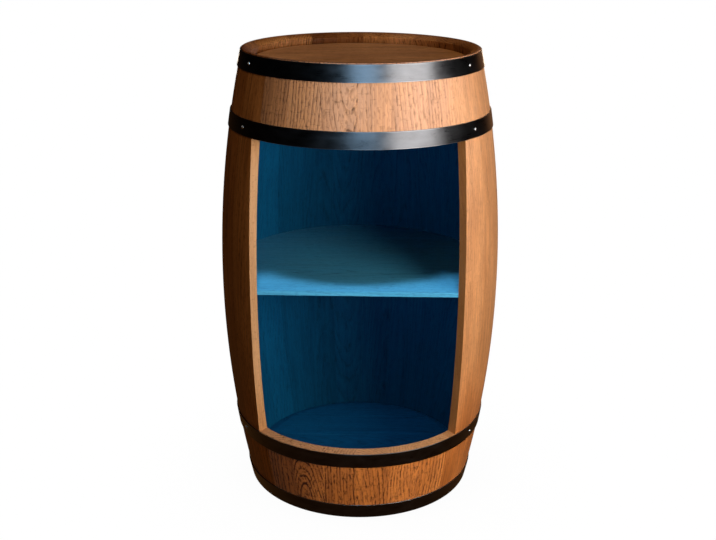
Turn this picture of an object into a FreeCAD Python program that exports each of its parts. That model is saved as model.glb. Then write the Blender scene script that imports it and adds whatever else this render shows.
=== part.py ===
import FreeCAD, Part
import math
import os

# A standing barrel with an open front, used as a cabinet with two bays for bottles.
# Millimetres, +Z up, the front faces -Y. The origin is on the barrel's axis, at the floor.
# Angles are degrees round the barrel from the middle of the front, growing towards +X.

# Barrel shell: staves follow a circular arc from end to end.
height = 810.0
belly_radius = 253.0
end_radius = 207.0
stave_belly_thickness = 15.0
stave_end_thickness = 19.0
chime_land = 5.0
chime_bevel_height = 8.0

# Opening in the front: six staves are sawn through square to the staves, and their two
# neighbours are notched. A notch runs less deep at the belly than at its ends.
opening_bottom = 140.0
opening_top_cover = 4.0
front_stave_count = 6
back_stave_count = 18
notch_depth_at_middle = 6.5
notch_depth_at_ends = 18.0
wedge_steps = 6

# Heads: round boards with a tongue all round, held in a groove in the staves.
head_thickness = 18.0
head_recess = 18.0
head_board_count = 5
tongue_thickness = 10.0
tongue_bevel = 8.0
groove_depth = 5.0
groove_side_clearance = 0.2
groove_end_clearance = 0.3
head_dowel_diameter = 8.0
head_dowel_length = 36.0
head_dowel_spacing = 150.0
dowel_hole_clearance = 0.1
dowel_end_clearance = 1.0

# Hoops: steel strip bent round the staves, lapped and riveted at the back.
hoop_width = 28.0
hoop_thickness = 2.0
hoop_clearance = 0.1
top_hoop_inset = 1.5
upper_hoop_drop = 132.0
lap_length = 46.0
rivet_diameter = 5.0
rivet_head_diameter = 10.0
rivet_head_height = 2.4
rivet_pitch = 22.0
hole_clearance = 0.05

# Nails that keep the hoops from slipping.
nail_shank_diameter = 2.5
nail_shank_length = 14.0
nail_head_diameter = 6.0
nail_head_height = 1.5
top_nail_angle = 59.0
upper_nail_angle = 56.5
lower_nail_angle = 62.0

# Shelf between the bays, lying on four pegs.
shelf_above_middle = 10.0
shelf_thickness = 8.0
shelf_wall_clearance = 0.3
peg_diameter = 10.0
peg_reach = 16.0
peg_hole_depth = 10.0
peg_end_clearance = 0.5
front_peg_stave_count = 1
rear_peg_stave_count = 7

stave_angle = 360 / (front_stave_count + back_stave_count)
first_joint_angle = front_stave_count * stave_angle / 2
shelf_top = height / 2 + shelf_above_middle
upper_hoop_bottom = height - upper_hoop_drop
lower_hoop_bottom = opening_bottom - hoop_width
opening_top = upper_hoop_bottom + opening_top_cover
top_hoop_bottom = height - top_hoop_inset - hoop_width
axis = FreeCAD.Vector(0, 0, 1)
centre = FreeCAD.Vector(0, 0, 0)


def arc_radius(z, middle_radius, last_radius):
    # radius at height z of the arc that bulges from last_radius at both ends to middle_radius
    sag = middle_radius - last_radius
    bend = ((height / 2) ** 2 + sag**2) / (2 * sag)
    return middle_radius - bend + math.sqrt(bend**2 - (z - height / 2) ** 2)


def outer_radius(z):
    return arc_radius(z, belly_radius, end_radius)


def inner_radius(z):
    return arc_radius(z, belly_radius - stave_belly_thickness, end_radius - stave_end_thickness)


def section_point(radius, z):
    return FreeCAD.Vector(radius, 0, z)


def section_line(first, last):
    return Part.LineSegment(section_point(*first), section_point(*last)).toShape()


def section_arc(radius_at, z_first, z_last):
    points = [section_point(radius_at(z), z) for z in (z_first, (z_first + z_last) / 2, z_last)]
    return Part.Arc(*points).toShape()


def around(edges, start, sweep):
    # turns a closed section, drawn in the plane y = 0, about the barrel's axis
    solid = Part.Face(Part.Wire(edges)).revolve(centre, axis, sweep)
    solid.rotate(centre, axis, start - 90)
    return solid


def polygon_around(points, start=0.0, sweep=360.0):
    edges = [section_line(a, b) for a, b in zip(points, points[1:] + points[:1])]
    return around(edges, start, sweep)


def slope(z):
    # how fast the outside of the barrel widens with height
    step = 1.0
    return (outer_radius(z + step) - outer_radius(z - step)) / (2 * step)


def square_to_stave(z):
    return FreeCAD.Vector(1, 0, -slope(z)).normalize()


def spoke(diameter, length, inner_end, direction, angle):
    # a round bar that points outwards, at that angle round the barrel
    bar = Part.makeCylinder(diameter / 2, length, inner_end, direction)
    bar.rotate(centre, axis, angle - 90)
    return bar


def dome(diameter, rise, seat, direction, angle):
    # a shallow round head that stands on a surface
    ball_radius = (diameter**2 / 4 + rise**2) / (2 * rise)
    ball = Part.makeSphere(ball_radius, seat + direction * (rise - ball_radius))
    cap = ball.common(Part.makeCylinder(diameter, 2 * rise, seat, direction))
    cap.rotate(centre, axis, angle - 90)
    return cap


def groove_span(head_bottom):
    middle = head_bottom + head_thickness / 2
    half = tongue_thickness / 2 + groove_side_clearance
    return middle - half, middle + half


def groove_floor(head_bottom):
    return inner_radius(head_bottom + head_thickness / 2) + groove_depth


top_head_bottom = height - head_recess - head_thickness
bottom_head_bottom = head_recess


def stave_blank(start, sweep):
    low, high = groove_span(bottom_head_bottom)
    low_floor = groove_floor(bottom_head_bottom)
    upper_low, upper_high = groove_span(top_head_bottom)
    upper_floor = groove_floor(top_head_bottom)
    land_radius = end_radius - chime_land
    bevel_top = height - chime_bevel_height
    edges = [
        section_arc(outer_radius, 0, height),
        section_line((end_radius, height), (land_radius, height)),
        section_line((land_radius, height), (inner_radius(bevel_top), bevel_top)),
        section_arc(inner_radius, bevel_top, upper_high),
        section_line((inner_radius(upper_high), upper_high), (upper_floor, upper_high)),
        section_line((upper_floor, upper_high), (upper_floor, upper_low)),
        section_line((upper_floor, upper_low), (inner_radius(upper_low), upper_low)),
        section_arc(inner_radius, upper_low, high),
        section_line((inner_radius(high), high), (low_floor, high)),
        section_line((low_floor, high), (low_floor, low)),
        section_line((low_floor, low), (inner_radius(low), low)),
        section_arc(inner_radius, low, chime_bevel_height),
        section_line((inner_radius(chime_bevel_height), chime_bevel_height), (land_radius, 0)),
        section_line((land_radius, 0), (end_radius, 0)),
    ]
    return around(edges, start, sweep)


def sawn_line(z):
    # the ends of a saw cut square to the stave, outside the shell and inside it
    reach_out = belly_radius + 1 - outer_radius(z)
    reach_in = -2 * stave_end_thickness
    return [(outer_radius(z) + reach, z - slope(z) * reach) for reach in (reach_out, reach_in)]


def opening_side_angle(z):
    # the joint beside the opening, and the notch beyond it
    share = ((z - height / 2) / (opening_top - height / 2)) ** 2
    notch = notch_depth_at_middle + (notch_depth_at_ends - notch_depth_at_middle) * share
    return first_joint_angle + math.degrees(notch / outer_radius(z))


def wedge_outline(z):
    # a triangle at height z, from the axis out through both sides of the opening
    turn = math.radians(opening_side_angle(z))
    reach = 2 * belly_radius
    side = FreeCAD.Vector(reach * math.sin(turn), -reach * math.cos(turn), z)
    other = FreeCAD.Vector(-side.x, side.y, z)
    return Part.makePolygon([FreeCAD.Vector(0, 0, z), side, other, FreeCAD.Vector(0, 0, z)])


def opening_cutter():
    low_out, low_in = sawn_line(opening_bottom)
    high_out, high_in = sawn_line(opening_top)
    ring = polygon_around([low_out, high_out, high_in, low_in])
    low, high = low_out[1] - stave_end_thickness, high_out[1] + stave_end_thickness
    levels = [low + (high - low) * step / wedge_steps for step in range(wedge_steps + 1)]
    return ring.common(Part.makeLoft([wedge_outline(z) for z in levels], True))


def back_stave_middle(number):
    # number counts from 1, at the opening's +X side, round the back
    return first_joint_angle + (number - 0.5) * stave_angle


rear_nail_angle = back_stave_middle(rear_peg_stave_count)
hoops = {
    "top_hoop": (top_hoop_bottom, (top_nail_angle, rear_nail_angle)),
    "upper_hoop": (upper_hoop_bottom, (upper_nail_angle, rear_nail_angle)),
    "lower_hoop": (lower_hoop_bottom, (lower_nail_angle, rear_nail_angle)),
    "bottom_hoop": (0.0, (rear_nail_angle,)),
}


def hoop_face_radius(z):
    return outer_radius(z) + hoop_clearance


def nail_places():
    for bottom, angles in hoops.values():
        for angle in angles:
            yield angle, bottom + hoop_width / 2
            yield -angle, bottom + hoop_width / 2


def hoop_seat(z, thickness):
    # where a nail or a rivet lies on the hoop
    return section_point(hoop_face_radius(z) + thickness, z)


def nail(angle, z):
    direction = square_to_stave(z)
    seat = hoop_seat(z, hoop_thickness)
    shank = spoke(nail_shank_diameter, nail_shank_length, seat - direction * nail_shank_length,
                  direction, angle)
    return shank.fuse(dome(nail_head_diameter, nail_head_height, seat, direction, angle))


def nail_hole(angle, z):
    direction = square_to_stave(z)
    depth = nail_shank_length + hole_clearance
    return spoke(nail_shank_diameter + 2 * hole_clearance, depth + hoop_thickness,
                 hoop_seat(z, hoop_thickness) - direction * depth, direction, angle)


def rivet_places(bottom):
    z = bottom + hoop_width / 2
    offset = math.degrees(rivet_pitch / 2 / hoop_face_radius(z))
    return [(180 - offset, z), (180 + offset, z)]


def rivet(angle, z):
    # its inner end is filed flush with the inside of the hoop
    direction = square_to_stave(z)
    length = 3 * hoop_thickness
    seat = hoop_seat(z, 2 * hoop_thickness)
    shank = spoke(rivet_diameter, length, seat - direction * length, direction, angle)
    head = dome(rivet_head_diameter, rivet_head_height, seat, direction, angle)
    return shank.cut(barrel_core()).fuse(head)


def rivet_hole(angle, z):
    direction = square_to_stave(z)
    seat = hoop_seat(z, 2 * hoop_thickness)
    return spoke(rivet_diameter + 2 * hole_clearance, 6 * hoop_thickness,
                 seat - direction * 4 * hoop_thickness, direction, angle)


def barrel_core():
    # everything inside the hoops' inner faces
    edges = [
        section_arc(hoop_face_radius, 0, height),
        section_line((hoop_face_radius(height), height), (0, height)),
        section_line((0, height), (0, 0)),
        section_line((0, 0), (hoop_face_radius(0), 0)),
    ]
    return around(edges, 0, 360)


def strip(bottom, inside, thickness, start, sweep):
    # a band of hoop steel that follows the staves' curve
    top = bottom + hoop_width

    def back(z):
        return inside(z)

    def face(z):
        return inside(z) + thickness

    edges = [
        section_arc(face, bottom, top),
        section_line((face(top), top), (back(top), top)),
        section_arc(back, top, bottom),
        section_line((back(bottom), bottom), (face(bottom), bottom)),
    ]
    return around(edges, start, sweep)


def make_hoop(bottom):
    lap_angle = math.degrees(lap_length / hoop_face_radius(bottom))
    band = strip(bottom, hoop_face_radius, hoop_thickness, 0, 360)
    lap = strip(bottom, hoop_face_radius, 2 * hoop_thickness, 180 - lap_angle / 2, lap_angle)
    hoop = band.fuse(lap)
    for angle, z in rivet_places(bottom):
        hoop = hoop.cut(rivet_hole(angle, z))
    for angle, z in nail_places():
        if bottom < z < bottom + hoop_width:
            hoop = hoop.cut(nail_hole(angle, z))
    return hoop.removeSplitter()


def peg_angles():
    for number in (front_peg_stave_count, rear_peg_stave_count):
        yield back_stave_middle(number)
        yield -back_stave_middle(number)


peg_z = shelf_top - shelf_thickness - peg_diameter / 2


def peg(angle):
    inner_end = section_point(inner_radius(peg_z) - peg_reach, peg_z)
    length = peg_reach + peg_hole_depth - peg_end_clearance
    return spoke(peg_diameter, length, inner_end, square_to_stave(height / 2), angle)


def peg_hole(angle):
    inner_end = section_point(inner_radius(peg_z) - peg_reach, peg_z)
    diameter = peg_diameter + 2 * hole_clearance
    length = peg_reach + peg_hole_depth
    return spoke(diameter, length, inner_end, square_to_stave(height / 2), angle)


def stave_drillings():
    # what is drilled into the staves: nail holes and the shelf pegs' blind holes
    nails = [(angle, nail_hole(angle, z)) for angle, z in nail_places()]
    pegs = [(angle, peg_hole(angle)) for angle in peg_angles()]
    return nails + pegs


def drilled(stave, start):
    for angle, drill in drillings:
        if (angle - start) % 360 < stave_angle:
            stave = stave.cut(drill)
    return stave


def make_head(bottom):
    low, high = bottom, bottom + head_thickness
    middle = (low + high) / 2
    tongue_low, tongue_high = middle - tongue_thickness / 2, middle + tongue_thickness / 2
    rim = groove_floor(bottom) - groove_end_clearance
    mouth = min(inner_radius(z) for z in groove_span(bottom)) - groove_end_clearance
    flat = min(inner_radius(low), inner_radius(high)) - tongue_bevel
    disc = polygon_around([(0, low), (flat, low), (mouth, tongue_low), (rim, tongue_low),
                           (rim, tongue_high), (mouth, tongue_high), (flat, high), (0, high)])
    board_width = 2 * rim / head_board_count
    dowels, holes = [], []
    for joint in range(1, head_board_count):
        y = -rim + joint * board_width
        for side in (-1, 1):
            x = side * head_dowel_spacing / 2
            dowels.append(bar_along_y(head_dowel_diameter, head_dowel_length, x, y, middle))
            holes.append(bar_along_y(head_dowel_diameter + 2 * dowel_hole_clearance,
                                     head_dowel_length + 2 * dowel_end_clearance, x, y, middle))
    boards = []
    for number in range(head_board_count):
        slab = Part.makeBox(2 * rim, board_width, head_thickness,
                            FreeCAD.Vector(-rim, -rim + number * board_width, low))
        board = disc.common(slab)
        for hole in holes:
            board = board.cut(hole)
        boards.append(board)
    return boards, dowels


def bar_along_y(diameter, length, x, y, z):
    start = FreeCAD.Vector(x, y - length / 2, z)
    return Part.makeCylinder(diameter / 2, length, start, FreeCAD.Vector(0, 1, 0))


def make_shelf():
    bottom = shelf_top - shelf_thickness
    radius = min(inner_radius(bottom), inner_radius(shelf_top)) - shelf_wall_clearance
    front = -radius * math.cos(math.radians(opening_side_angle(shelf_top)))
    disc = Part.makeCylinder(radius, shelf_thickness, FreeCAD.Vector(0, 0, bottom))
    keep = Part.makeBox(2 * radius, radius - front, shelf_thickness,
                        FreeCAD.Vector(-radius, front, bottom))
    return disc.common(keep)


def write(name, solids):
    shape = Part.makeCompound(solids) if len(solids) > 1 else solids[0]
    shape.exportStep(f"parts/{name}.step")
    print(name, len(shape.Solids), "solids", round(shape.Volume / 1000, 2), "cm3",
          "valid" if shape.isValid() else "NOT VALID")


os.makedirs("parts", exist_ok=True)
drillings = stave_drillings()

opening = opening_cutter()

for number in range(1, back_stave_count + 1):
    start = first_joint_angle + (number - 1) * stave_angle
    stave = stave_blank(start, stave_angle)
    if number in (1, back_stave_count):
        stave = stave.cut(opening)
    write(f"stave_{number:02d}", drilled(stave, start).Solids)

for number in range(1, front_stave_count + 1):
    start = first_joint_angle - number * stave_angle
    pieces = stave_blank(start, stave_angle).cut(opening).Solids
    lower, upper = sorted(pieces, key=lambda piece: piece.CenterOfMass.z)
    write(f"front_upper_stave_{number}", [upper])
    write(f"front_lower_stave_{number}", [lower])

for place, bottom in (("top", top_head_bottom), ("bottom", bottom_head_bottom)):
    boards, dowels = make_head(bottom)
    for number, board in enumerate(boards, 1):
        write(f"{place}_head_board_{number}", board.Solids)
    write(f"{place}_head_dowels", dowels)

for name, (bottom, angles) in hoops.items():
    write(name, make_hoop(bottom).Solids)
write("hoop_rivets", [rivet(angle, z) for bottom, angles in hoops.values()
                      for angle, z in rivet_places(bottom)])
write("hoop_nails", [nail(angle, z) for angle, z in nail_places()])

write("shelf", make_shelf().Solids)
write("shelf_pegs", [peg(angle) for angle in peg_angles()])
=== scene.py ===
import math
import bmesh
import bpy
import numpy as np
from mathutils import Matrix, Vector


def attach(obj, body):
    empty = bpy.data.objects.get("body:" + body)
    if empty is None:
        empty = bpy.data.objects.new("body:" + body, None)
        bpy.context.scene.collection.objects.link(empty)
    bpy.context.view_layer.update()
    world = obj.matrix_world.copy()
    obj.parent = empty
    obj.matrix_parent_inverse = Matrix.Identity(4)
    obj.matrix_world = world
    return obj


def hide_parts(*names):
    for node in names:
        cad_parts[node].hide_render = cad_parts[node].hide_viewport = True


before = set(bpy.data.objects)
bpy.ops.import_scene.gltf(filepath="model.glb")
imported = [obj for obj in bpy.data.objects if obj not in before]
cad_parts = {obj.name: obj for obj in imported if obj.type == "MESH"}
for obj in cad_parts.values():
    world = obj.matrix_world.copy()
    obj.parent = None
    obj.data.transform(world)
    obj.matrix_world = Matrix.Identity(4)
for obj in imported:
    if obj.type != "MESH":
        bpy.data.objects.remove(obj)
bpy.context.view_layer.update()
rng = np.random.default_rng(41)
print("frame loaded:", len(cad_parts), "nodes")

# Metres, +Z up, the opening faces -Y. Angles are degrees round the barrel from the middle
# of the front, growing towards +X.
barrel = {
    "height": 0.810,
    "bellyRadius": 0.253,
    "endRadius": 0.207,
    "bellyThickness": 0.015,
    "endThickness": 0.019,
    "staveCount": 24,
    "frontStaves": 6,
    "openingBottom": 0.140,
    "openingTop": 0.682,
    "notchMiddle": 0.0065,
    "notchEnds": 0.018,
}
staveAngle = 360 / barrel["staveCount"]
firstJoint = barrel["frontStaves"] * staveAngle / 2
tiny = 1e-6  # metres: places closer than this count as the same
smoothAngle = math.radians(35)  # edges sharper than this stay visible edges, and most are eased
easedSegments = 2


# small helpers

def linearColor(hexText):
    # sRGB hex to linear RGBA
    srgb = np.array([int(hexText[i:i + 2], 16) for i in (1, 3, 5)]) / 255
    linear = np.where(srgb <= 0.04045, srgb / 12.92, ((srgb + 0.055) / 1.055) ** 2.4)
    return (*linear.tolist(), 1.0)


def addNode(tree, kind, inputs=None, **settings):
    # adds a node, sets its properties, and fills or links its sockets
    node = tree.nodes.new(kind)
    for name, value in settings.items():
        setattr(node, name, value)
    for socket, value in (inputs or {}).items():
        if isinstance(value, bpy.types.NodeSocket):
            tree.links.new(value, node.inputs[socket])
        else:
            node.inputs[socket].default_value = value
    return node


def newMaterial(name):
    material = bpy.data.materials.new(name)
    material.use_nodes = True
    material.node_tree.nodes.clear()
    return material, material.node_tree


def closeMaterial(tree, surface, height=None, depth=0.0, strength=1.0):
    # links the surface to the output, and where a height is given, makes a bump of it
    if height is not None:
        bump = addNode(tree, "ShaderNodeBump", {"Height": height, "Distance": depth, "Strength": strength})
        tree.links.new(bump.outputs[0], surface.inputs["Normal"])
    addNode(tree, "ShaderNodeOutputMaterial", {"Surface": surface.outputs[0]})


def rampValue(tree, value, span, out=(0.0, 1.0), blend="LINEAR"):
    # carries the two ends of the span to the two ends of out
    return addNode(tree, "ShaderNodeMapRange",
                   {"Value": value, "From Min": span[0], "From Max": span[1],
                    "To Min": out[0], "To Max": out[1]}, interpolation_type=blend).outputs[0]


def mixColors(tree, factor, a, b, blend="MIX"):
    # the node's sockets 6 and 7 are its two colours, and its output 2 is their mix
    return addNode(tree, "ShaderNodeMix", {0: factor, 6: a, 7: b}, data_type="RGBA",
                   blend_type=blend).outputs[2]


def stretchedNoise(tree, coordinates, perMetre, detail, rough):
    # noise with its own number of patterns per metre along each axis
    place = addNode(tree, "ShaderNodeVectorMath", {0: coordinates, 1: perMetre}, operation="MULTIPLY")
    return addNode(tree, "ShaderNodeTexNoise", {"Vector": place.outputs[0], "Scale": 1.0, "Detail": detail,
                                                "Roughness": rough}).outputs["Fac"]


def bowedRadius(z, middle, last):
    # arc of a circle through both ends and the belly: middle - bend + sqrt(bend^2 - (z - half height)^2)
    half = barrel["height"] / 2
    sag = middle - last
    bend = (half**2 + sag**2) / (2 * sag)
    return middle - bend + np.sqrt(bend**2 - (z - half) ** 2)


def outerRadius(z):
    return bowedRadius(z, barrel["bellyRadius"], barrel["endRadius"])


def innerRadius(z):
    return bowedRadius(z, barrel["bellyRadius"] - barrel["bellyThickness"],
                       barrel["endRadius"] - barrel["endThickness"])


def outerSlope(z, step=0.001):
    return (outerRadius(z + step) - outerRadius(z - step)) / (2 * step)


def openingSide(z):
    # the joint beside the opening, plus a notch that deepens with the square of the distance from the belly
    half = barrel["height"] / 2
    share = np.minimum(((z - half) / (barrel["openingTop"] - half)) ** 2, 1)
    notch = barrel["notchMiddle"] + (barrel["notchEnds"] - barrel["notchMiddle"]) * share
    return firstJoint + np.degrees(notch / outerRadius(z))


def sawFace(under, sawnAt):
    # height of a saw cut square to the outside, at a point that lies that far under the surface
    return sawnAt + outerSlope(sawnAt) * under


def around(radius, angle):
    # x = r sin(angle), y = -r cos(angle)
    turn = np.radians(angle)
    return radius * np.sin(turn), -radius * np.cos(turn)


def stepsBetween(stops, step):
    # heights that include every stop, with even steps no longer than step between them
    parts = [np.linspace(a, b, max(1, math.ceil((b - a) / step)) + 1)[:-1]
             for a, b in zip(stops[:-1], stops[1:])]
    return np.concatenate(parts + [np.array(stops[-1:])])


def blockFaces(filled):
    # quads between the filled and the empty cells of a block of cells, turned outwards
    points = np.arange(np.prod([n + 1 for n in filled.shape])).reshape([n + 1 for n in filled.shape])
    padded = np.pad(filled, 1).astype(int)
    quads = []
    for axis in range(3):
        step = np.diff(padded, axis=axis)
        others = [a for a in range(3) if a != axis]
        keep = [slice(None)] * 3
        for a in others:
            keep[a] = slice(1, -1)
        step = step[tuple(keep)]
        corner = []
        for du, dv in ((0, 0), (1, 0), (1, 1), (0, 1)):
            pick = [slice(None)] * 3
            pick[others[0]] = slice(du, points.shape[others[0]] - 1 + du)
            pick[others[1]] = slice(dv, points.shape[others[1]] - 1 + dv)
            corner.append(points[tuple(pick)])
        quad = np.stack(corner, axis=-1)
        flip = -1 if axis == 1 else 1
        quads.append(quad[step == flip][:, ::-1])
        quads.append(quad[step == -flip])
    return np.concatenate(quads)


def wholeBlock(points):
    return blockFaces(np.ones([n - 1 for n in points.shape[:3]], bool))


def signedVolume(points, quads):
    # six times the volume that the faces enclose: below zero when they point inwards
    a, b, c, d = (points[quads[:, i]] for i in range(4))
    return float(np.sum(np.cross(b - a, c - a) * a) + np.sum(np.cross(c - a, d - a) * a))


def addPiece(name, points, quads, materials, node, *, attributes, pick=None, rounding=0.0):
    # makes a mesh object with its attributes, eased edges and materials, and puts it on the frame;
    # pick gives each face its place in the list of materials
    points = np.asarray(points, float).reshape(-1, 3)
    if signedVolume(points, quads) < 0:
        quads = quads[:, ::-1]
    used, packed = np.unique(quads, return_inverse=True)
    quads = packed.reshape(quads.shape)
    mesh = bpy.data.meshes.new(name)
    mesh.from_pydata(points[used].tolist(), [], quads.tolist())
    for key, vectors in attributes.items():
        layer = mesh.attributes.new(key, "FLOAT_VECTOR", "POINT")
        layer.data.foreach_set("vector", vectors.reshape(-1, 3)[used].astype(np.float32).ravel())
    for material in materials:
        mesh.materials.append(material)
    if pick is not None:
        centres = points[used][quads].mean(axis=1)
        mesh.polygons.foreach_set("material_index", pick(centres).astype(np.int32))
    mesh.validate()
    mesh.shade_smooth()
    mesh.set_sharp_from_angle(angle=smoothAngle)
    piece = bpy.data.objects.new(name, mesh)
    bpy.context.scene.collection.objects.link(piece)
    if rounding:
        bevel = piece.modifiers.new("easedEdges", "BEVEL")
        bevel.width = rounding
        bevel.segments = easedSegments
        bevel.limit_method = "ANGLE"
        bevel.angle_limit = smoothAngle
        bevel.harden_normals = True
    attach(piece, "root")
    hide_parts(node)
    return piece


# wood

# Sizes of patterns, across and along the fibre, their reaches and the pores' depth are in metres. A span
# says where a pattern starts to show and where it shows in full. Rows and rings count in shares of a ring.
woodGrain = {
    "wander": (0.08, 0.30),
    "wanderReach": 0.016,
    "ripple": (0.011, 0.07),
    "rippleReach": 0.004,
    "rowStart": (0.0, 0.08),
    "rowEnd": (0.50, 0.12),
    "rowMark": 0.70,
    "dashes": (0.0022, 0.014),
    "dashSpan": (0.32, 0.54),
    "strength": (0.016, 0.5),
    "strengthSpan": (0.34, 0.66),
    "strengths": (0.35, 1.0),
    "hair": (0.0024, 0.011),
    "hairSpan": (0.50, 0.70),
    "hairMark": 0.34,
    "hairDepth": 0.25,
    "fleck": (0.008, 0.0035),
    "fleckSpan": (0.58, 0.74),
    "ringSpan": (0.35, 0.97),
    "ringShade": 0.30,
    "streak": (0.006, 0.30),
    "streakSpan": (0.3, 0.75),
    "streakShade": 0.50,
    "streakDepth": 0.15,
    "blotch": (0.045, 0.16),
    "blotchSpan": (0.3, 0.72),
    "blotchTones": (0.86, 1.12),
    "roughSpan": (0.2, 0.8),
    "roughChanges": (-0.05, 0.06),
    "poreRoughness": 0.15,
    "poreDepth": 0.0003,
    "bumpStrength": 0.6,
    "refraction": 1.5,
}


def stainedOak(name, light, dark, pore, *, roughness=0.5, contrast=1.0, ringSpacing=0.0046, gloss=0.5,
               coat=0.0, deepening=(1.0, 1.3, 1.8), reddening="#FFFFFF", flecks=0.18, dullPores=0.0):
    # sawn and planed oak: growth rings with rows of open pores, more stain held in the pores
    material, tree = newMaterial(name)
    grain = addNode(tree, "ShaderNodeAttribute", attribute_name="grain").outputs["Vector"]
    board = addNode(tree, "ShaderNodeAttribute", attribute_name="board").outputs["Vector"]
    tone, pores, redness = addNode(tree, "ShaderNodeSeparateXYZ", {0: board}).outputs

    def compute(operation, a, b=0.0, clamp=False):
        return addNode(tree, "ShaderNodeMath", {0: a, 1: b}, operation=operation,
                       use_clamp=clamp).outputs[0]

    def noise(pattern, detail=2.0, rough=0.5):
        across, along = woodGrain[pattern]
        return stretchedNoise(tree, grain, (1 / across, 1 / across, 1 / along), detail, rough)

    def ramp(value, span, out=(0.0, 1.0)):
        return rampValue(tree, value, span, out, "SMOOTHSTEP")

    flat = addNode(tree, "ShaderNodeVectorMath", {0: grain, 1: (1.0, 1.0, 0.0)}, operation="MULTIPLY")
    radius = addNode(tree, "ShaderNodeVectorMath", {0: flat.outputs[0]}, operation="LENGTH").outputs["Value"]
    wander = compute("MULTIPLY", compute("SUBTRACT", noise("wander"), 0.5), woodGrain["wanderReach"])
    ripple = compute("MULTIPLY", compute("SUBTRACT", noise("ripple"), 0.5), woodGrain["rippleReach"])
    year = compute("DIVIDE", compute("ADD", radius, compute("ADD", wander, ripple)), ringSpacing)
    phase = compute("FRACT", year)
    # a row of open pores starts each ring, broken into dashes and stronger in some years than in others
    row = compute("MULTIPLY", ramp(phase, woodGrain["rowStart"]), ramp(phase, woodGrain["rowEnd"]))
    dashes = ramp(noise("dashes", rough=0.6), woodGrain["dashSpan"])
    strength = ramp(noise("strength"), woodGrain["strengthSpan"], woodGrain["strengths"])
    rows = compute("MULTIPLY", compute("MULTIPLY", row, dashes), strength)
    # scattered fine pores, and small flecks across the fibre
    hair = ramp(noise("hair", detail=1.5), woodGrain["hairSpan"])
    fleck = ramp(noise("fleck"), woodGrain["fleckSpan"])
    fineMarks = compute("ADD", compute("MULTIPLY", hair, woodGrain["hairMark"] * contrast),
                        compute("MULTIPLY", fleck, flecks * contrast))
    marks = compute("ADD", compute("MULTIPLY", rows, woodGrain["rowMark"] * contrast), fineMarks)
    spots = compute("MULTIPLY", marks, pores, clamp=True)
    # late wood and long streaks are darker
    streak = noise("streak")
    lateWood = ramp(phase, woodGrain["ringSpan"])
    ringShade = compute("MULTIPLY", lateWood, woodGrain["ringShade"] * contrast)
    darkStreak = ramp(streak, woodGrain["streakSpan"])
    streakShade = compute("MULTIPLY", darkStreak, woodGrain["streakShade"] * contrast)
    shade = compute("ADD", ringShade, streakShade, clamp=True)
    plain = mixColors(tree, shade, linearColor(light), linearColor(dark))
    pored = mixColors(tree, spots, plain, linearColor(pore))
    # where more stain went in, the wood is darker; each board's tone and redness, given per point,
    # darken and redden it too, and also carry painted light and shade
    blotch = noise("blotch", detail=3.0, rough=0.55)
    level = compute("MULTIPLY", ramp(blotch, woodGrain["blotchSpan"], woodGrain["blotchTones"]), tone)
    channels = [compute("POWER", level, power) for power in deepening]
    levelColor = addNode(tree, "ShaderNodeCombineColor", dict(enumerate(channels))).outputs[0]
    stained = mixColors(tree, 1.0, pored, levelColor, "MULTIPLY")
    redder = mixColors(tree, 1.0, stained, linearColor(reddening), "MULTIPLY")
    base = mixColors(tree, redness, stained, redder)
    height = compute("SUBTRACT", compute("MULTIPLY", streak, woodGrain["streakDepth"]),
                     compute("ADD", rows, compute("MULTIPLY", hair, woodGrain["hairDepth"])))
    rough = compute("ADD", compute("MULTIPLY", spots, woodGrain["poreRoughness"]),
                    ramp(blotch, woodGrain["roughSpan"],
                         [roughness + change for change in woodGrain["roughChanges"]]))
    shine = gloss
    if dullPores:
        # the lacquer sank into the pores, which shine less
        shine = compute("MULTIPLY", compute("SUBTRACT", 1.0, compute("MULTIPLY", spots, dullPores)), gloss)
    surface = addNode(tree, "ShaderNodeBsdfPrincipled",
                      {"Base Color": base, "Roughness": rough, "IOR": woodGrain["refraction"],
                       "Specular IOR Level": shine, "Coat Weight": coat, "Coat Roughness": roughness})
    closeMaterial(tree, surface, height, woodGrain["poreDepth"], woodGrain["bumpStrength"])
    return material


# oak, brushed and wiped with a brown stain under satin lacquer: warm brown, dark in the pores
brownOak = stainedOak("brownStainedOak", "#CC8C52", "#955F2E", "#3E1D0B", roughness=0.54, gloss=1.0,
                      coat=0.4, reddening="#FBD68B", flecks=0.26, dullPores=0.8)
# the same oak where it was sawn after staining: paler, drier and more even
paleOak = stainedOak("paleSawnOak", "#C2986E", "#9B6E45", "#623F21", roughness=0.6, contrast=0.6, gloss=0.35,
                     deepening=(0.4, 0.5, 0.6), reddening="#FFE8C8", flecks=0.6)
# painted shade: the sawn faces at the opening's +X side, turned away from the light, get a darker,
# redder copy of the pale sawn oak
shadedSawnOak = stainedOak("sawnOakPaintedShade", "#B67F4B", "#915A2E", "#5B3313", roughness=0.6, contrast=0.6,
                      gloss=0.35, deepening=(0.4, 0.5, 0.6), flecks=0.6)
# oak wiped with a blue stain: the grain shows through it; it is kept darker than the shelf's copy
# of the stain, as painted shade
blueOak = stainedOak("blueStainedOak", "#084562", "#052F4C", "#031B2D", roughness=0.5, contrast=0.8,
                     gloss=0.12, deepening=(0.4, 0.4, 0.4))
# painted light: the shelf is a paler, brighter copy of the blue stain than the walls, as if lit
litShelfBlue = stainedOak("blueShelfPaintedLight", "#4A9FC4", "#2E80A8", "#1A587C", roughness=0.42, contrast=0.8,
                       deepening=(0.4, 0.4, 0.4))
# oak left bare, in the grooves and under the floor
bareOak = stainedOak("bareOak", "#B9936B", "#94704C", "#6B4D33", roughness=0.65, contrast=0.7, gloss=0.3)
# beech rod, turned and left bare: pale, close grain
beechRod = stainedOak("turnedBeech", "#CDA57A", "#B98D62", "#9A7049", roughness=0.55, contrast=0.4,
                      ringSpacing=0.002, gloss=0.35)


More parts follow.
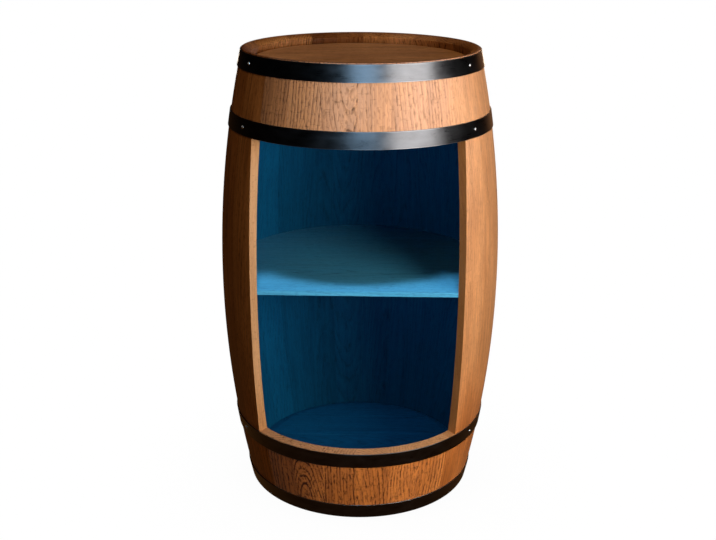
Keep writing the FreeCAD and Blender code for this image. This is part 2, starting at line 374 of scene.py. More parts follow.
def boardGrain(across, depth, along, board):
    # where a point lies in the tree: the board's heart is off to one side and slowly leaves its face
    x = across - board["heartAcross"]
    y = depth + board["heartDepth"] + board["runOut"] * (along - board["level"])
    return np.stack([x / board["coarse"], y / board["coarse"], along + board["shift"]], axis=-1)


def boardLook(board, shape):
    # the same on every point of the board: tone, how open the pores are, redness
    return np.broadcast_to(np.array([board["tone"], board["pores"], board["red"]]), (*shape, 3))


def staveLook(board, z):
    # painted shade: the staves are redder and darker towards the foot; the rim has its own tone,
    # partly painted light and shade, and end grain drank more stain
    look = boardLook(board, z.shape).copy()
    atEnd = (z < tiny) | (z > barrel["height"] - tiny)
    atRim = z > barrel["height"] - staves["grooveLow"] - tiny
    # each rim's tone is partly the board's own and partly painted light and shade on the rim
    look[..., 0] *= np.where(atEnd, staves["endTone"], np.where(atRim, board["rimToneAndLight"], 1.0))
    look[..., 1] *= np.where(atRim, staves["rimPores"], 1.0)
    # painted shade: below this height the staves turn redder and darker
    footPaintedShade = np.clip((staves["footShadeBelow"] - z) / staves["footShadeFade"], 0, 1)
    look[..., 2] = np.maximum(board["red"], np.where(atRim, staves["rimRed"], footPaintedShade))
    return look


# How a board was sawn: where the tree's heart lies, across the board and behind its face, and how fast it
# leaves the face. Near the heart the grain shows nested arches, quartered it shows straight lines. Each
# board comes from another stretch of its tree, and is a little darker or paler than the next.
boardCuts = {
    "arched": {"across": (0.017, 0.020), "depth": (0.017, 0.019), "runOut": (-0.17, -0.15)},
    "peaked": {"across": (-0.010, -0.008), "depth": (0.002, 0.004), "runOut": (0.28, 0.31)},
    "quartered": {"across": (0.10, 0.16), "depth": (0.0, 0.02), "runOut": (-0.02, 0.02)},
    "mixed": {"across": (-0.07, 0.07), "depth": (0.020, 0.055), "runOut": (-0.12, 0.12)},
}
boardShifts = (0, 40)
boardTones = (0.965, 1.035)


def newBoard(cut="mixed", level=0.4, tone=1.0, pores=0.8, coarse=1.0, red=0.0, rimToneAndLight=0.85):
    # a coarse board grew fast, and its rings are wide; level is the height that its run-out counts from
    return {
        "heartAcross": rng.uniform(*boardCuts[cut]["across"]),
        "heartDepth": rng.uniform(*boardCuts[cut]["depth"]),
        "runOut": rng.uniform(*boardCuts[cut]["runOut"]),
        "shift": rng.uniform(*boardShifts),
        "level": level,
        "tone": tone * rng.uniform(*boardTones),
        "pores": pores,
        "coarse": coarse,
        "red": red,
        "rimToneAndLight": rimToneAndLight,
    }


# staves

# Full staves are counted from 0 at the opening's +X side, round the back; the sawn ones from +X to -X.
# A tone multiplies the colour, and pores says how open and dark they are. Back boards are full staves that
# differ from newBoard's usual board.
staves = {
    "columns": 8,
    "rowStep": 0.022,
    "leanReach": 0.03,
    "rounding": 0.00035,
    "land": 0.005,
    "bevel": 0.008,
    "grooveLow": 0.0218,
    "grooveHigh": 0.0322,
    "grooveDepth": 0.005,
    "blueSkin": 0.77,
    "skin": 0.001,
    "cutMargin": 0.0005,
    "sideMargin": 0.2,
    "endTone": 0.68,
    # painted shade at the foot: the height where it starts, and the height over which it fades in
    "footShadeBelow": 0.30,
    "footShadeFade": 0.18,
    "rimRed": 0.1,
    "rimPores": 1.5,
    # the tones and rim tones of boards 3 to 13 are partly their own, partly painted light and shade on the
    # rear rim
    "backBoards": {
        0: {"pores": 0.5},
        1: {"pores": 0.5},
        2: {"pores": 0.6},
        3: {"rimToneAndLight": 0.4},
        4: {"rimToneAndLight": 0.45},
        5: {"rimToneAndLight": 0.8},
        6: {"rimToneAndLight": 1.1},
        7: {"rimToneAndLight": 1.4},
        8: {"tone": 0.85, "rimToneAndLight": 1.4},
        9: {"tone": 0.8, "rimToneAndLight": 0.8},
        10: {"tone": 0.6, "rimToneAndLight": 0.7},
        11: {"tone": 0.75, "rimToneAndLight": 1.6},
        12: {"tone": 1.25, "rimToneAndLight": 1.4},
        13: {"rimToneAndLight": 1.3},
        # painted shade: the staves at the opening's -X side, away from the light, are darker and redder
        15: {"tone": 0.6, "red": 0.6},
        16: {"tone": 0.7, "red": 0.4},
        17: {"tone": 0.92, "red": 0.25},
    },
    "sawnBoards": {
        "lower": {
            "level": 0.03,
            "coarse": 1.25,
            "cuts": ["mixed", "arched", "mixed", "quartered", "peaked", "mixed"],
            "tones": [1.26, 1.12, 1.18, 1.1, 1.05, 0.94],
            "pores": [1.3, 1.3, 1.5, 2.1, 2.2, 1.7],
        },
        "upper": {
            "level": 0.735,
            "coarse": 1.35,
            "cuts": ["quartered", "mixed", "quartered", "arched", "quartered", "quartered"],
            "tones": [0.84, 0.92, 0.98, 0.93, 1.32, 1.03],
            "pores": [0.8, 0.8, 0.85, 1.05, 1.2, 1.1],
        },
    },
}


def staveLattice(lowAngle, highAngle, stops, saws, notch):
    # depth x height x across, from the outer arc to the inner arc: the layer between them is the groove's
    # floor, and elsewhere where the blue stain starts
    height = barrel["height"]
    z = stepsBetween(stops, staves["rowStep"])
    outer = outerRadius(z)
    fromEnd = np.minimum(z, height - z)
    bevelStart = innerRadius(staves["bevel"])
    bevelEnd = barrel["endRadius"] - staves["land"]
    inner = np.where(fromEnd < staves["bevel"] - tiny,
                     bevelEnd + (bevelStart - bevelEnd) * fromEnd / staves["bevel"], innerRadius(z))
    grooveFloor = innerRadius((staves["grooveLow"] + staves["grooveHigh"]) / 2) + staves["grooveDepth"]
    inGroove = (fromEnd > staves["grooveLow"] - tiny) & (fromEnd < staves["grooveHigh"] + tiny)
    middle = np.where(inGroove, grooveFloor, outer - staves["blueSkin"] * (outer - inner))
    radius = np.stack([outer, middle, inner])
    level = np.tile(z, (len(radius), 1))
    for sawnAt in saws:
        # rows near a saw cut lean with it
        share = np.clip(1 - np.abs(z - sawnAt) / staves["leanReach"], 0, 1)
        level = level + share * (sawFace(outer - radius, sawnAt) - sawnAt)
    steps = np.linspace(0, 1, staves["columns"] + 1)
    angle = np.broadcast_to(lowAngle + steps * (highAngle - lowAngle), (*radius.shape, len(steps)))
    if notch:
        # one more column, between the joint and the opening's side
        side = openingSide(level)[..., None]
        kept = side + steps * (firstJoint + staveAngle - side)
        angle = np.concatenate([np.full(side.shape, firstJoint), kept], axis=-1)
        if notch < 0:
            angle = -angle[..., ::-1]
    x, y = around(radius[:, :, None], angle)
    heights = np.broadcast_to(level[:, :, None], x.shape)
    filled = np.ones([n - 1 for n in x.shape], bool)
    filled[1, inGroove[:-1] & inGroove[1:], :] = False
    if notch:
        middles = (z[1:] + z[:-1]) / 2
        filled[:, (middles > saws[0]) & (middles < saws[1]), 0 if notch > 0 else -1] = False
    across = np.radians(angle - (lowAngle + highAngle) / 2) * outer[None, :, None]
    depth = np.broadcast_to((outer - radius)[:, :, None], x.shape)
    return np.stack([x, y, heights], axis=-1), filled, across, depth


def stavePick(saws, notch):
    # which of addStave's materials each face has: 0 brown outside and rim, 1 blue inside, 2 sawn, 3 bare
    low, high = staves["grooveHigh"], barrel["height"] - staves["grooveHigh"]
    lowBare, highRim = staves["grooveLow"], barrel["height"] - staves["grooveLow"]
    skin = staves["skin"]

    def pick(centres):
        x, y, z = centres.T
        radius = np.hypot(x, y)
        angle = np.degrees(np.arctan2(x, -y))
        under = outerRadius(z) - radius
        index = np.zeros(len(z))
        inside = under > staves["blueSkin"] * (outerRadius(z) - innerRadius(z))
        index[inside & (z > low) & (z < high)] = 1
        index[(z > lowBare - skin) & (z < low) | (z > high) & (z < highRim + skin)] = 3
        index[(z < lowBare) & (under >= skin)] = 3
        index[under < skin] = 0
        for sawnAt in saws:
            index[(np.abs(z - sawFace(under, sawnAt)) < staves["cutMargin"]) & (under > skin)] = 2
        if notch:
            atSide = np.abs(notch * angle - openingSide(z)) < staves["sideMargin"]
            index[atSide & (z > saws[0]) & (z < saws[1])] = 2
        return index

    return pick


def addStave(name, node, lowAngle, stops, board, saws=(), notch=0):
    points, filled, across, depth = staveLattice(lowAngle, lowAngle + staveAngle, stops, saws, notch)
    # the sawn faces at the +X side take the copy with painted shade
    cutOak = shadedSawnOak if notch > 0 else paleOak
    materials = [brownOak, blueOak, cutOak, bareOak]
    attributes = {"grain": boardGrain(across, depth, points[..., 2], board),
                  "board": staveLook(board, points[..., 2])}
    return addPiece(name, points, blockFaces(filled), materials, node, attributes=attributes,
                    pick=stavePick(saws, notch), rounding=staves["rounding"])


footStops = [0, staves["bevel"], staves["grooveLow"], staves["grooveHigh"]]
headStops = [barrel["height"] - s for s in footStops[::-1]]
openingCuts = (barrel["openingBottom"], barrel["openingTop"])
backStaves = barrel["staveCount"] - barrel["frontStaves"]
fullStaves = []
for number in range(backStaves):
    notch = 1 if number == 0 else -1 if number == backStaves - 1 else 0
    saws = openingCuts if notch else ()
    start = firstJoint + number * staveAngle
    if notch < 0:
        start -= 360
    board = newBoard(**staves["backBoards"].get(number, {}))
    fullStaves.append(addStave(f"fullStave{number + 1:02d}", f"stave_{number + 1:02d}", start,
                               footStops + list(saws) + headStops, board, saws, notch))

sawnStaves = []
for number in range(barrel["frontStaves"]):
    start = firstJoint - (number + 1) * staveAngle
    boards = {place: newBoard(look["cuts"][number], look["level"], look["tones"][number],
                              look["pores"][number], look["coarse"])
              for place, look in staves["sawnBoards"].items()}
    sawnStaves += [
        addStave(f"lowerStave{number + 1}", f"front_lower_stave_{number + 1}", start,
                 footStops + [openingCuts[0]], boards["lower"], openingCuts[:1]),
        addStave(f"upperStave{number + 1}", f"front_upper_stave_{number + 1}", start,
                 [openingCuts[1]] + headStops, boards["upper"], openingCuts[1:]),
    ]
print("staves made")


# heads

heads = {
    "thickness": 0.018,
    "recess": 0.018,
    "boards": 5,
    "tongue": 0.010,
    "bevel": 0.008,
    "grooveClearance": 0.0003,
    "rounding": 0.0008,
    "dowelRadius": 0.004,
    "dowelLength": 0.036,
    "dowelChamfer": 0.0008,
    "dowelSpacing": 0.150,
    "grainPores": 0.9,
    "alongPoints": 49,
    "acrossPoints": 9,
    "innerPoints": 31,
    "chordPoints": 7,
    "chordShare": 0.985,
    "leastStep": 0.0005,
    "underShare": 0.45,
}


def headRadii(low):
    # where the flat face ends, where the bevel ends in the groove's mouth, and the tongue's outer edge
    high = low + heads["thickness"]
    middle = (low + high) / 2
    rim = innerRadius(middle) + staves["grooveDepth"] - heads["grooveClearance"]
    lip = (staves["grooveHigh"] - staves["grooveLow"]) / 2
    mouth = min(innerRadius(middle - lip), innerRadius(middle + lip)) - heads["grooveClearance"]
    flat = min(innerRadius(low), innerRadius(high)) - heads["bevel"]
    return flat, mouth, rim


def headBoardLattice(low, index):
    # a slice of a disc: straight sides, and ends that follow the circles of bevel, mouth and rim
    flat, mouth, rim = headRadii(low)
    width = 2 * rim / heads["boards"]
    nearY, farY = -rim + index * width, -rim + (index + 1) * width
    if index in (0, heads["boards"] - 1):
        # near the tips of an outermost board the circles reach its straight side, and keep a least step off
        side = -1 if index == 0 else 1
        chord = min(abs(nearY), abs(farY))
        halfChord = math.sqrt(rim**2 - chord**2) * heads["chordShare"]
        x = np.linspace(-1, 1, heads["alongPoints"]) * halfChord
        reach = [np.maximum(np.sqrt(np.maximum(circle**2 - x**2, 0)), chord + heads["leastStep"] * count)
                 for count, circle in enumerate((flat, mouth, rim), 1)]
        shares = np.linspace(0, 1, heads["chordPoints"])
        y = np.stack([chord + share * (reach[0] - chord) for share in shares] + reach[1:])
        x, y = np.broadcast_to(x, y.shape), side * y
    else:
        y = np.linspace(nearY, farY, heads["acrossPoints"])[:, None]
        inside = np.linspace(-1, 1, heads["innerPoints"]) * np.sqrt(flat**2 - y**2)
        ends = [np.sqrt(circle**2 - y**2) for circle in (mouth, rim)]
        x = np.concatenate([-ends[1], -ends[0], inside, ends[0], ends[1]], axis=1)
        y = np.broadcast_to(y, x.shape)
    distance = np.hypot(x, y)
    drop = np.clip((distance - flat) / (mouth - flat), 0, 1) * (heads["thickness"] - heads["tongue"]) / 2
    z = np.stack([low + drop, low + heads["thickness"] - drop])
    points = np.stack([np.broadcast_to(x, z.shape), np.broadcast_to(y, z.shape), z], axis=-1)
    return points, (nearY + farY) / 2


def addHead(place, low, upperFinish, lowerFinish, tone):
    split = low + heads["underShare"] * heads["thickness"]
    for index in range(heads["boards"]):
        points, middleY = headBoardLattice(low, index)
        board = newBoard(level=0.0, tone=tone, pores=heads["grainPores"])
        across, depth, along = points[..., 1] - middleY, points[..., 2] - low, points[..., 0]
        addPiece(f"{place}HeadBoard{index + 1}", points, wholeBlock(points), [upperFinish, lowerFinish],
                 f"{place}_head_board_{index + 1}",
                 attributes={"grain": boardGrain(across, depth, along, board),
                             "board": boardLook(board, across.shape)},
                 pick=lambda centres: centres[:, 2] < split, rounding=heads["rounding"])


topHeadLow = barrel["height"] - heads["recess"] - heads["thickness"]
addHead("top", topHeadLow, brownOak, blueOak, tone=1.0)
# painted light: the lower bay's floor, and the head's underside with it, is made far brighter than the blue
# walls, as if lit
addHead("bottom", heads["recess"], blueOak, bareOak, tone=2.2)
print("heads made")


# turned pins: dowels, pegs, nails, rivets

# Each pin's grain runs along it, off the tree's heart by these distances.
pinGrain = {"offHeart": (0.02, 0.03), "shifts": (0, 9), "toneSpread": 0.06}


def turnedPins(name, profile, seats, material, node, sides=24):
    # a profile of (radius, height) turned about its own axis, once for each seat and direction
    radius, height = np.array(profile, float).T
    turn = np.linspace(0, 2 * np.pi, sides, endpoint=False)
    groups, faces, grain, looks = [], [], [], []
    rows = len(radius)
    offX, offY = pinGrain["offHeart"]
    spread = pinGrain["toneSpread"]
    ring = np.arange(rows * sides).reshape(rows, sides)
    quads = np.stack([ring[:-1], np.roll(ring[:-1], -1, 1), np.roll(ring[1:], -1, 1), ring[1:]], -1)
    quads = quads.reshape(-1, 4)
    for count, (seat, direction) in enumerate(seats):
        forward = Vector(direction).normalized()
        side = forward.orthogonal().normalized()
        up = forward.cross(side)
        circle = np.cos(turn)[:, None] * np.array(side) + np.sin(turn)[:, None] * np.array(up)
        body = np.array(seat) + radius[:, None, None] * circle + height[:, None, None] * np.array(forward)
        groups.append(body.reshape(-1, 3))
        faces.append(quads + count * rows * sides)
        alongGrain = np.broadcast_to(height[:, None], (rows, sides)) + rng.uniform(*pinGrain["shifts"])
        local = np.stack([radius[:, None] * np.cos(turn) + offX, radius[:, None] * np.sin(turn) + offY,
                          alongGrain], -1)
        grain.append(local.reshape(-1, 3))
        looks.append(np.tile((1 + rng.uniform(-spread, spread), 1.0, 0.0), (rows * sides, 1)))
    piece = addPiece(name, np.concatenate(groups), np.concatenate(faces), [material], node,
                     attributes={"grain": np.concatenate(grain), "board": np.concatenate(looks)})
    # the points on the axis fall together: one pole is left at each end
    work = bmesh.new()
    work.from_mesh(piece.data)
    bmesh.ops.remove_doubles(work, verts=work.verts, dist=tiny)
    bmesh.ops.recalc_face_normals(work, faces=work.faces)
    work.to_mesh(piece.data)
    work.free()
    return piece


def rodProfile(radius, length, chamfer):
    # a straight rod about its middle, with both ends chamfered
    return [(0, -length / 2), (radius - chamfer, -length / 2), (radius, -length / 2 + chamfer),
            (radius, length / 2 - chamfer), (radius - chamfer, length / 2), (0, length / 2)]


for place, low in (("top", topHeadLow), ("bottom", heads["recess"])):
    rim = headRadii(low)[2]
    width = 2 * rim / heads["boards"]
    middle = low + heads["thickness"] / 2
    seats = [((side * heads["dowelSpacing"] / 2, -rim + joint * width, middle), (0, 1, 0))
             for joint in range(1, heads["boards"]) for side in (-1, 1)]
    dowel = rodProfile(heads["dowelRadius"], heads["dowelLength"], heads["dowelChamfer"])
    turnedPins(f"{place}HeadDowels", dowel, seats, beechRod, f"{place}_head_dowels")


# shelf

shelf = {
    "top": 0.415,
    "thickness": 0.008,
    "wallClearance": 0.0003,
    "rounding": 0.0009,
    "pegRadius": 0.005,
    "pegReach": 0.016,
    "pegDepth": 0.0095,
    "pegChamfer": 0.001,
    "frontPegStave": 1,
    "rearPegStave": 7,
    "rearAngle": 4,
    "rows": 48,
    "columns": 41,
}


def shelfLattice():
    # chords of a circle from the straight front edge to the back: x = share R sin(turn), y = R cos(turn)
    low = shelf["top"] - shelf["thickness"]
    radius = min(innerRadius(low), innerRadius(shelf["top"])) - shelf["wallClearance"]
    frontAngle = 180 - float(openingSide(shelf["top"]))
    turn = np.radians(np.linspace(frontAngle, shelf["rearAngle"], shelf["rows"]))[:, None]
    share = np.linspace(-1, 1, shelf["columns"])
    x = share * radius * np.sin(turn)
    y = np.broadcast_to(radius * np.cos(turn), x.shape)
    z = np.stack([np.full(x.shape, low), np.full(x.shape, shelf["top"])])
    return np.stack([np.broadcast_to(x, z.shape), np.broadcast_to(y, z.shape), z], axis=-1)


points = shelfLattice()
board = {"heartAcross": -0.06, "heartDepth": 0.055, "runOut": 0.035, "shift": 3.0, "level": 0.4,
         "tone": 1.1, "pores": 1.0, "coarse": 1.0, "red": 0.0}
grain = boardGrain(points[..., 1], points[..., 2] - shelf["top"], points[..., 0] + board["level"], board)
# the shelf takes the blue stain's copy with painted light
shelfBoard = addPiece("shelfBoard", points, wholeBlock(points), [litShelfBlue], "shelf",
                      attributes={"grain": grain, "board": boardLook(board, points.shape[:3])},
                      rounding=shelf["rounding"])


def staveMiddle(number):
    # counted from 1 at the opening's +X side, round the back
    return firstJoint + (number - 0.5) * staveAngle


pegZ = shelf["top"] - shelf["thickness"] - shelf["pegRadius"]
pegLength = shelf["pegReach"] + shelf["pegDepth"]
pegMiddle = innerRadius(pegZ) - shelf["pegReach"] + pegLength / 2
pegSeats = []
for stave in (shelf["frontPegStave"], shelf["rearPegStave"]):
    for side in (-1, 1):
        angle = side * staveMiddle(stave)
        x, y = around(pegMiddle, angle)
        pegSeats.append(((x, y, pegZ), (x, y, 0)))
turnedPins("shelfPegs", rodProfile(shelf["pegRadius"], pegLength, shelf["pegChamfer"]), pegSeats, beechRod,
           "shelf_pegs")
print("shelf made")


# hoops

hoops = {
    "width": 0.028,
    "thickness": 0.002,
    "clearance": 0.0001,
    "lap": 0.046,
    "lapClearance": 0.00002,
    "ramp": 0.010,
    "rowStep": 0.0095,
    "columns": 240,
    "rampColumns": 6,
    "lapColumns": 14,
    "rounding": 0.0005,
    "topInset": 0.0015,
    "upperBottom": 0.678,
    "rivetSpacing": 0.022,
    "rivetRadius": 0.0025,
    "rivetHead": (0.005, 0.0024),
    "frontNails": {"top": [59], "upper": [56.5], "lower": [62]},
    "nailRadius": 0.00125,
    "nailLength": 0.014,
    "nailHead": (0.003, 0.0015),
    "domePoints": 8,
    "grainShift": 3.7,
}
hoopBottoms = {
    "top": barrel["height"] - hoops["topInset"] - hoops["width"],
    "upper": hoops["upperBottom"],
    "lower": barrel["openingBottom"] - hoops["width"],
    "bottom": 0.0,
}

# Patterns per metre, along and across the strip; the worn span and the depth are in metres.
rolledFinish = {
    "streaks": (9.0, 900.0),
    "streakRoughness": (0.27, 0.33),
    "cloud": (28.0, 60.0),
    "cloudRoughness": (-0.03, 0.05),
    "scratches": (60.0, 2600.0),
    "scratchDepth": 0.00004,
    "bumpStrength": 0.25,
    "noiseSpan": (0.3, 0.7),
    "noiseRoughness": 0.6,
    "wornSpan": (0.0128, 0.0138),
    "wornShare": 0.5,
}


def rolledSteel():
    # hot rolled steel strip, oiled: near black scale with a soft shine, streaks along the strip, worn edges
    material, tree = newMaterial("hotRolledSteel")
    strip = addNode(tree, "ShaderNodeAttribute", attribute_name="strip").outputs["Vector"]

    def noise(pattern, detail=3.0):
        along, across = rolledFinish[pattern]
        return stretchedNoise(tree, strip, (along, across, across), detail, rolledFinish["noiseRoughness"])

    def ramp(value, out=(0.0, 1.0)):
        return rampValue(tree, value, rolledFinish["noiseSpan"], out)

    streaks = noise("streaks")
    cloud = noise("cloud")
    scratches = noise("scratches", detail=2.0)
    across = addNode(tree, "ShaderNodeSeparateXYZ", {0: strip}).outputs[1]
    fromMiddle = addNode(tree, "ShaderNodeMath", {0: across}, operation="ABSOLUTE").outputs[0]
    worn = rampValue(tree, fromMiddle, rolledFinish["wornSpan"], (0.0, rolledFinish["wornShare"]))
    scale = mixColors(tree, ramp(cloud), linearColor("#363432"), linearColor("#474543"))
    color = mixColors(tree, worn, scale, linearColor("#8C8884"))
    rough = addNode(tree, "ShaderNodeMath",
                    {0: ramp(streaks, rolledFinish["streakRoughness"]),
                     1: ramp(cloud, rolledFinish["cloudRoughness"])}, operation="ADD")
    surface = addNode(tree, "ShaderNodeBsdfPrincipled", {"Base Color": color, "Metallic": 1.0,
                                                         "Roughness": rough.outputs[0]})
    closeMaterial(tree, surface, scratches, rolledFinish["scratchDepth"], rolledFinish["bumpStrength"])
    return material


pits = {
    "perMetre": 900.0,
    "depth": 0.00006,
    "strength": 0.3,
    "span": (0.3, 0.7),
    "roughChanges": (-0.06, 0.08),
}


def pittedMetal(name, color, roughness):
    material, tree = newMaterial(name)
    place = addNode(tree, "ShaderNodeTexCoord").outputs["Object"]
    noise = addNode(tree, "ShaderNodeTexNoise", {"Vector": place, "Scale": pits["perMetre"], "Detail": 2.0})
    height = noise.outputs["Fac"]
    rough = rampValue(tree, height, pits["span"], [roughness + change for change in pits["roughChanges"]])
    surface = addNode(tree, "ShaderNodeBsdfPrincipled", {"Base Color": linearColor(color), "Metallic": 1.0,
                                                         "Roughness": rough})
    closeMaterial(tree, surface, height, pits["depth"], pits["strength"])
    return material


hoopSteel = rolledSteel()
# zinc plated nail, struck with a hammer: bright, slightly pitted
zincNail = pittedMetal("zincPlatedSteel", "#BDB8AE", roughness=0.34)
# steel rivet, domed cold: darker than zinc
rivetSteel = pittedMetal("coldHeadedSteel", "#8A8682", roughness=0.34)


def hoopLattice(bottom):
    # a strip carried round the staves: its last stretch climbs by its own thickness, in an S-shaped curve,
    # and laps over its start
    z = stepsBetween([bottom, bottom + hoops["width"]], hoops["rowStep"])
    face = outerRadius(z) + hoops["clearance"]
    lapAngle = math.degrees(hoops["lap"] / face[0])
    rampAngle = math.degrees(hoops["ramp"] / face[0])
    start = 180 - lapAngle / 2
    fullTurn = start + 360
    body = np.linspace(start, fullTurn - rampAngle, hoops["columns"])
    climb = np.linspace(fullTurn - rampAngle, fullTurn, hoops["rampColumns"] + 1)[1:]
    last = np.linspace(fullTurn, fullTurn + lapAngle, hoops["lapColumns"] + 1)[1:]
    angle = np.concatenate([body, climb, last])
    share = np.clip((angle - (fullTurn - rampAngle)) / rampAngle, 0, 1)
    lift = (hoops["thickness"] + hoops["lapClearance"]) * share**2 * (3 - 2 * share)
    radius = face[None, :, None] + np.array([0, hoops["thickness"]])[:, None, None] + lift
    x, y = around(radius, angle)
    heights = np.broadcast_to(z[None, :, None], x.shape)
    along = np.broadcast_to(np.radians(angle) * face.mean(), x.shape)
    across = np.broadcast_to((z - z.mean())[None, :, None], x.shape)
    strip = np.stack([along, across, np.broadcast_to(radius - face[None, :, None], x.shape)], -1)
    return np.stack([x, y, heights], axis=-1), strip


hoopPieces = []
for count, (place, bottom) in enumerate(hoopBottoms.items()):
    points, strip = hoopLattice(bottom)
    strip[..., 0] += hoops["grainShift"] * count
    hoopPieces.append(addPiece(f"{place}Hoop", points, wholeBlock(points), [hoopSteel],
                               f"{place}_hoop", attributes={"strip": strip}, rounding=hoops["rounding"]))


def hoopSeat(angle, z, stack):
    # a point that lies the stack's thickness over the staves, and the direction square to them
    x, y = around(outerRadius(z) + hoops["clearance"] + stack, angle)
    outX, outY = around(1.0, angle)
    return (x, y, z), (outX, outY, -outerSlope(z))


def domeProfile(head, shank, length):
    # half of a flattened ball on a shank: radius = head's radius sin(t), height = rise cos(t)
    radius, rise = head
    turn = np.linspace(0, np.pi / 2, hoops["domePoints"])
    cap = [(radius * math.sin(t), rise * math.cos(t)) for t in turn]
    return cap + [(shank, 0), (shank, -length), (0, -length)]


nailSeats, rivetSeats = [], []
for place, bottom in hoopBottoms.items():
    z = bottom + hoops["width"] / 2
    for angle in hoops["frontNails"].get(place, []) + [staveMiddle(shelf["rearPegStave"])]:
        nailSeats += [hoopSeat(angle, z, hoops["thickness"]), hoopSeat(-angle, z, hoops["thickness"])]
    offset = math.degrees(hoops["rivetSpacing"] / 2 / (outerRadius(z) + hoops["clearance"]))
    rivetSeats += [hoopSeat(180 + side * offset, z, 2 * hoops["thickness"]) for side in (-1, 1)]
hoopNails = turnedPins("hoopNails", domeProfile(hoops["nailHead"], hoops["nailRadius"], hoops["nailLength"]),
                       nailSeats, zincNail, "hoop_nails", sides=20)
turnedPins("hoopRivets", domeProfile(hoops["rivetHead"], hoops["rivetRadius"], 2 * hoops["thickness"]),
           rivetSeats, rivetSteel, "hoop_rivets", sides=28)
print("hoops made")


# studio

# Lens and sensor in millimetres, places in metres, angles in degrees. Gloss mirrors a room that goes from
# the floor's colour to its own over the horizon span, which is how far up a ray points.
studio = {
    "lens": 54.89,
    "sensor": 36,
    "clipEnd": 200,
    "distance": 1.92085,
    "eyeHeight": 1.05853,
    "turned": 1.3,
    "yaw": -0.101,
    "pitch": 18.967,
    "roll": 0.2536,
    "floorReach": 30.0,
    "floorDrop": 0.0005,
    "floorGlow": 0.97,
    "sunWidth": 40,
    "airGlow": 0.025,
    "mirrorGlow": 0.6,
    "horizonSpan": (-0.6, 0.0),
}


def addCamera():
    turned = math.radians(studio["turned"])
    yaw = math.radians(studio["yaw"]) - turned
    pitch, roll = math.radians(studio["pitch"]), math.radians(studio["roll"])
    forward = Vector((math.sin(yaw) * math.cos(pitch), math.cos(yaw) * math.cos(pitch), -math.sin(pitch)))
    right = Vector((math.cos(yaw), -math.sin(yaw), 0))
    up = right.cross(forward)
    rolledRight = right * math.cos(roll) + up * math.sin(roll)
    rolledUp = up * math.cos(roll) - right * math.sin(roll)
    data = bpy.data.cameras.new("camera")
    data.sensor_fit = "HORIZONTAL"
    data.sensor_width = studio["sensor"]
    data.lens = studio["lens"]
    data.clip_end = studio["clipEnd"]
    camera = bpy.data.objects.new("camera", data)
    place = Vector((*around(studio["distance"], studio["turned"]), studio["eyeHeight"]))
    turn = Matrix((rolledRight, rolledUp, -forward)).transposed().to_4x4()
    camera.matrix_world = Matrix.Translation(place) @ turn
    bpy.context.scene.collection.objects.link(camera)
    bpy.context.scene.camera = camera


def addFloor():
    # pale paper that glows almost evenly, so that only a faint shadow lies on it
    mesh = bpy.data.meshes.new("floor")
    reach = studio["floorReach"]
    corners = [(-reach, -reach, 0), (reach, -reach, 0), (reach, reach, 0), (-reach, reach, 0)]
    mesh.from_pydata(corners, [], [(0, 1, 2, 3)])
    material, tree = newMaterial("palePaperSweep")
    shaded = addNode(tree, "ShaderNodeBsdfDiffuse", {"Color": linearColor("#F4F4F4")})
    lit = addNode(tree, "ShaderNodeEmission", {"Color": (1, 1, 1, 1), "Strength": 1.0})
    surface = addNode(tree, "ShaderNodeMixShader", {0: studio["floorGlow"], 1: shaded.outputs[0],
                                                    2: lit.outputs[0]})
    closeMaterial(tree, surface)
    mesh.materials.append(material)
    floor = bpy.data.objects.new("floor", mesh)
    bpy.context.scene.collection.objects.link(floor)
    floor.location.z = -studio["floorDrop"]
    floor.visible_diffuse = False
    floor.visible_glossy = False
    return floor


def addLight(name, angle, height, distance, energy, color="#FFFFFF", size=(1.0, 1.0), target=0.45,
             kind="AREA", only=(), without=(), shades=True, shines=True):
    # a light at an angle round the barrel, aimed at the target's height on its axis; it falls only on some
    # pieces, or on all without some; shades lights their own colour, shines shows in their gloss
    data = bpy.data.lights.new(name, kind)
    data.energy = energy
    data.color = linearColor(color)[:3]
    if kind == "AREA":
        data.shape = "RECTANGLE"
        data.size, data.size_y = size
    light = bpy.data.objects.new(name, data)
    x, y = around(distance, angle)
    light.location = (x, y, height)
    light.rotation_euler = (light.location - Vector((0, 0, target))).to_track_quat("Z", "Y").to_euler()
    light.visible_camera = False
    light.visible_diffuse = shades
    light.visible_glossy = shines
    bpy.context.scene.collection.objects.link(light)
    if only or without:
        receivers = bpy.data.collections.new(name + "Receivers")
        for receiver in (*only, *without):
            receivers.objects.link(receiver)
        for entry in receivers.collection_objects:
            entry.light_linking.link_state = "EXCLUDE" if without else "INCLUDE"
        light.light_linking.receiver_collection = receivers
    return light


def addWorld():
    # the camera sees white; surfaces get a dim warm air, and gloss mirrors a dark room over a warm floor
    world = bpy.data.worlds.new("studioAir")
    world.use_nodes = True
    tree = world.node_tree
    tree.nodes.clear()
    path = addNode(tree, "ShaderNodeLightPath")
    direction = addNode(tree, "ShaderNodeTexCoord").outputs["Generated"]
    upward = addNode(tree, "ShaderNodeSeparateXYZ", {0: direction}).outputs[2]
    above = rampValue(tree, upward, studio["horizonSpan"])
    room = mixColors(tree, above, linearColor("#7A5028"), linearColor("#100D0B"))
    air = addNode(tree, "ShaderNodeBackground", {"Color": linearColor("#F0A860"),
                                                 "Strength": studio["airGlow"]})
    mirrored = addNode(tree, "ShaderNodeBackground", {"Color": room, "Strength": studio["mirrorGlow"]})
    white = addNode(tree, "ShaderNodeBackground", {"Color": (1, 1, 1, 1), "Strength": 1.0})
    unseen = addNode(tree, "ShaderNodeMixShader", {0: path.outputs["Is Glossy Ray"], 1: air.outputs[0],
                                                   2: mirrored.outputs[0]})
    both = addNode(tree, "ShaderNodeMixShader", {0: path.outputs["Is Camera Ray"], 1: unseen.outputs[0],
                                                 2: white.outputs[0]})
    addNode(tree, "ShaderNodeOutputWorld", {"Surface": both.outputs[0]})
    bpy.context.scene.world = world


addCamera()
floor = addFloor()
addWorld()
metal = [*hoopPieces, hoopNails]
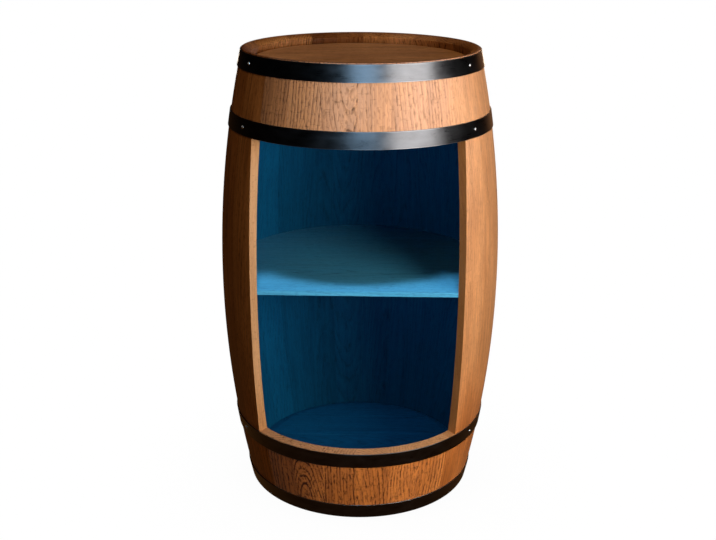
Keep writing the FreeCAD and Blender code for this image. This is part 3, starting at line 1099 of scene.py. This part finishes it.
# the rims of the staves at the rear left would catch a haze from the wood's gleam
rearLeftStaves = fullStaves[8:14]
addLight("keySoftbox", angle=38, height=0.74, distance=1.55, energy=27.3, color="#FFF6EC", size=(0.8, 0.45),
         target=0.6, shines=False, without=[floor])
addLight("metalGleam", angle=46, height=1.15, distance=2.3, energy=90, color="#F2F6FF", size=(1.7, 0.95),
         target=0.75, only=metal)
addLight("coolWindow", angle=5, height=1.55, distance=3.0, energy=68, color="#9CC8F2", size=(1.3, 1.0),
         target=0.75, only=metal)
addLight("woodGleam", angle=62, height=1.3, distance=2.3, energy=86, color="#FFFBF4", size=(2.7, 0.95),
         target=0.75, shades=False, without=[floor, *metal, *rearLeftStaves])
addLight("frontGleam", angle=-7, height=1.5, distance=2.6, energy=55, color="#FFF3E4", size=(1.35, 0.9),
         target=0.75, shades=False, only=sawnStaves)
addLight("frontFill", angle=-8, height=2.2, distance=2.4, energy=6, color="#FFE2B8", size=(1.0, 1.0),
         target=0.5, shines=False, without=[floor])
addLight("leftSkylight", angle=-70, height=1.5, distance=0.7, energy=1.0, color="#FFF2E0", size=(0.4, 0.4),
         target=0.75, shines=False, without=[floor, *metal])
addLight("warmRoom", angle=155, height=0.9, distance=2.6, energy=3, color="#FFB27A", size=(1.6, 1.6),
         target=0.5, shades=False, without=[floor])
addLight("backFill", angle=180, height=0.55, distance=2.2, energy=16, color="#FFE9CC", size=(1.6, 0.3),
         without=[floor])
addLight("ceilingFill", angle=180, height=3.2, distance=1.2, energy=20, color="#FFEACC", size=(1.4, 1.4),
         target=0.8, shines=False, without=[floor])
addLight("shelfLight", angle=2, height=2.4, distance=0.9, energy=50, color="#DCEBFF", size=(0.5, 0.2),
         target=0.42, only=[shelfBoard])
addLight("nailGlint", angle=-105, height=1.1, distance=2.0, energy=3, size=(0.8, 0.8), target=0.7,
         only=[hoopNails])
for bay, bayTop in (("upper", 0.68), ("lower", 0.40)):
    addLight(bay + "BayFill", angle=0, height=bayTop, distance=0.02, energy=0.45, color="#B4D2FF",
             size=(0.2, 0.2), target=0, shines=False, without=[floor, shelfBoard])
floorSun = addLight("floorSun", angle=0, height=5, distance=0.01, energy=3.6, target=0, kind="SUN",
                    only=[floor])
floorSun.data.angle = math.radians(studio["sunWidth"])
print("studio made")

scene = bpy.context.scene
scene.view_settings.view_transform = "Standard"
scene.view_settings.look = "None"
